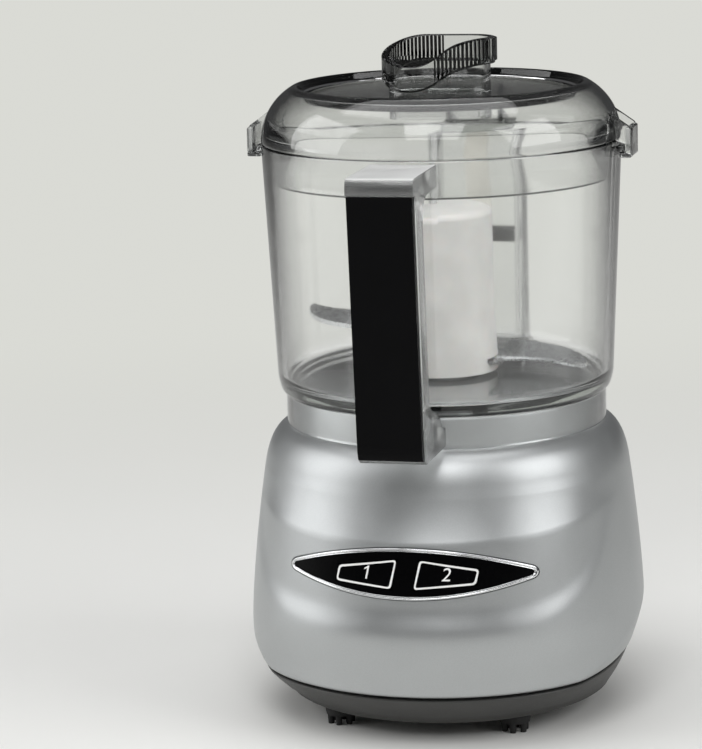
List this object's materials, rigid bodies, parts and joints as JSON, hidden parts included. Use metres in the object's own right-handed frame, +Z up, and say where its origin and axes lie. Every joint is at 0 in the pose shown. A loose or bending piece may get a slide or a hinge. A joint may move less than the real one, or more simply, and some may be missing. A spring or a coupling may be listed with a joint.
{
  "type": "mini food chopper",
  "caption": "Mini food chopper: silver motor base with a lens-shaped button panel, clear bowl with black-faced handle, twist-lock lid and curved-blade cutter",
  "frame": {"origin": "on the drive axis, on the surface that the feet stand on", "axes": "+Z up along the drive axis; the handle and the control panel face -Y; +X is to the right seen from the front"},
  "size_m": [0.1354, 0.169, 0.2295],
  "materials": {
    "silver_paint": "silver metallic lacquer, fine flake",
    "dark_shell": "fine grain",
    "black_rubber": "matt",
    "black_plastic": "satin gloss",
    "bright_trim": "bright plated",
    "clear_plastic": "clear polycarbonate, slightly grey",
    "white_plastic": "satin",
    "nylon": "satin",
    "steel": "ground",
    "bearing_bronze": "sintered",
    "copper": "enamelled",
    "board_green": "solder mask",
    "magnet_grey": "ferrite",
    "carbon": "graphite"
  },
  "bodies": {
    "base": {"motor_housing": "silver_paint", "base_cover": "dark_shell", "foot_front_left": "black_rubber", "foot_front_right": "black_rubber", "foot_rear_left": "black_rubber", "foot_rear_right": "black_rubber", "cover_screws": "steel", "panel_bezel": "bright_trim", "control_panel": "black_plastic", "switch_board": "board_green", "chop_switch": "black_plastic", "grind_switch": "black_plastic", "interlock_switch": "black_plastic", "motor_can": "steel", "motor_magnets": "magnet_grey", "brush_end_bell": "dark_shell", "carbon_brushes": "carbon", "lower_bearing": "bearing_bronze", "upper_bearing": "bearing_bronze", "motor_plate": "steel", "motor_screws": "steel", "gearbox_case": "nylon", "gearbox_screws": "steel", "drive_bushing": "bearing_bronze", "shaft_seal": "black_rubber", "cord_gland": "black_rubber"},
    "drive": {"drive_shaft": "steel", "planet_carrier": "steel", "planet_pins": "steel"},
    "rotor": {"armature_core": "copper", "armature_shaft": "steel", "commutator": "copper", "cooling_fan": "dark_shell", "sun_gear": "bearing_bronze"},
    "planet_1": {"planet_gear_1": "nylon"},
    "planet_2": {"planet_gear_2": "nylon"},
    "planet_3": {"planet_gear_3": "nylon"},
    "bowl": {"work_bowl": "clear_plastic", "handle_grip": "black_plastic"},
    "rod": {"interlock_rod": "dark_shell", "interlock_spring": "steel"},
    "blade": {"blade_hub": "white_plastic", "lower_blade": "steel", "upper_blade": "steel"},
    "lid": {"lid": "clear_plastic", "lid_grip": "clear_plastic"},
    "plunger": {"interlock_plunger": "nylon"},
    "left_button": {"chop_button": "black_plastic"},
    "right_button": {"grind_button": "black_plastic"}
  },
  "joints": [
    {"name": "rotor_spin", "type": "hinge", "parent": "base", "child": "rotor", "pos_m": [0, 0, 0.055], "axis": [0, 0, 1], "continuous": true},
    {"name": "drive_spin", "type": "hinge", "parent": "base", "child": "drive", "pos_m": [0, 0, 0.11], "axis": [0, 0, 1], "continuous": true},
    {"name": "planet_1_spin", "type": "hinge", "parent": "drive", "child": "planet_1", "pos_m": [0.0135, 0, 0.0922], "axis": [0, 0, 1], "continuous": true},
    {"name": "planet_2_spin", "type": "hinge", "parent": "drive", "child": "planet_2", "pos_m": [-0.00675, 0.01169, 0.0922], "axis": [0, 0, 1], "continuous": true},
    {"name": "planet_3_spin", "type": "hinge", "parent": "drive", "child": "planet_3", "pos_m": [-0.00675, -0.01169, 0.0922], "axis": [0, 0, 1], "continuous": true},
    {"name": "bowl_lift", "type": "slide", "parent": "base", "child": "bowl", "axis": [0, 0, 1], "range_m": [0, 0.12]},
    {"name": "blade_spin", "type": "hinge", "parent": "bowl", "child": "blade", "pos_m": [0, 0, 0.14], "axis": [0, 0, 1], "continuous": true},
    {"name": "lid_turn", "type": "hinge", "parent": "bowl", "child": "lid", "pos_m": [0, 0, 0.2], "axis": [0, 0, 1], "range_deg": [0, 25]},
    {"name": "rod_rise", "type": "slide", "parent": "bowl", "child": "rod", "axis": [0, 0, 1], "range_m": [0, 0.0035], "deforming": ["interlock_spring"]},
    {"name": "plunger_rise", "type": "slide", "parent": "base", "child": "plunger", "axis": [0, 0, 1], "range_m": [0, 0.0035]},
    {"name": "left_button_press", "type": "slide", "parent": "base", "child": "left_button", "axis": [0, 0.9881, -0.1541], "range_m": [0, 0.0008], "stiffness_N_per_m": 900},
    {"name": "right_button_press", "type": "slide", "parent": "base", "child": "right_button", "axis": [0, 0.9881, -0.1541], "range_m": [0, 0.0008], "stiffness_N_per_m": 900}
  ],
  "couplings": [
    {"joint": "drive_spin", "follows": "rotor_spin", "ratio": 0.2},
    {"joint": "planet_1_spin", "follows": "rotor_spin", "ratio": -0.53333},
    {"joint": "planet_2_spin", "follows": "rotor_spin", "ratio": -0.53333},
    {"joint": "planet_3_spin", "follows": "rotor_spin", "ratio": -0.53333},
    {"joint": "blade_spin", "follows": "rotor_spin", "ratio": 0.2},
    {"joint": "rod_rise", "follows": "lid_turn", "m_per_rad": 0.0080214},
    {"joint": "plunger_rise", "follows": "lid_turn", "m_per_rad": 0.0080214}
  ]
}
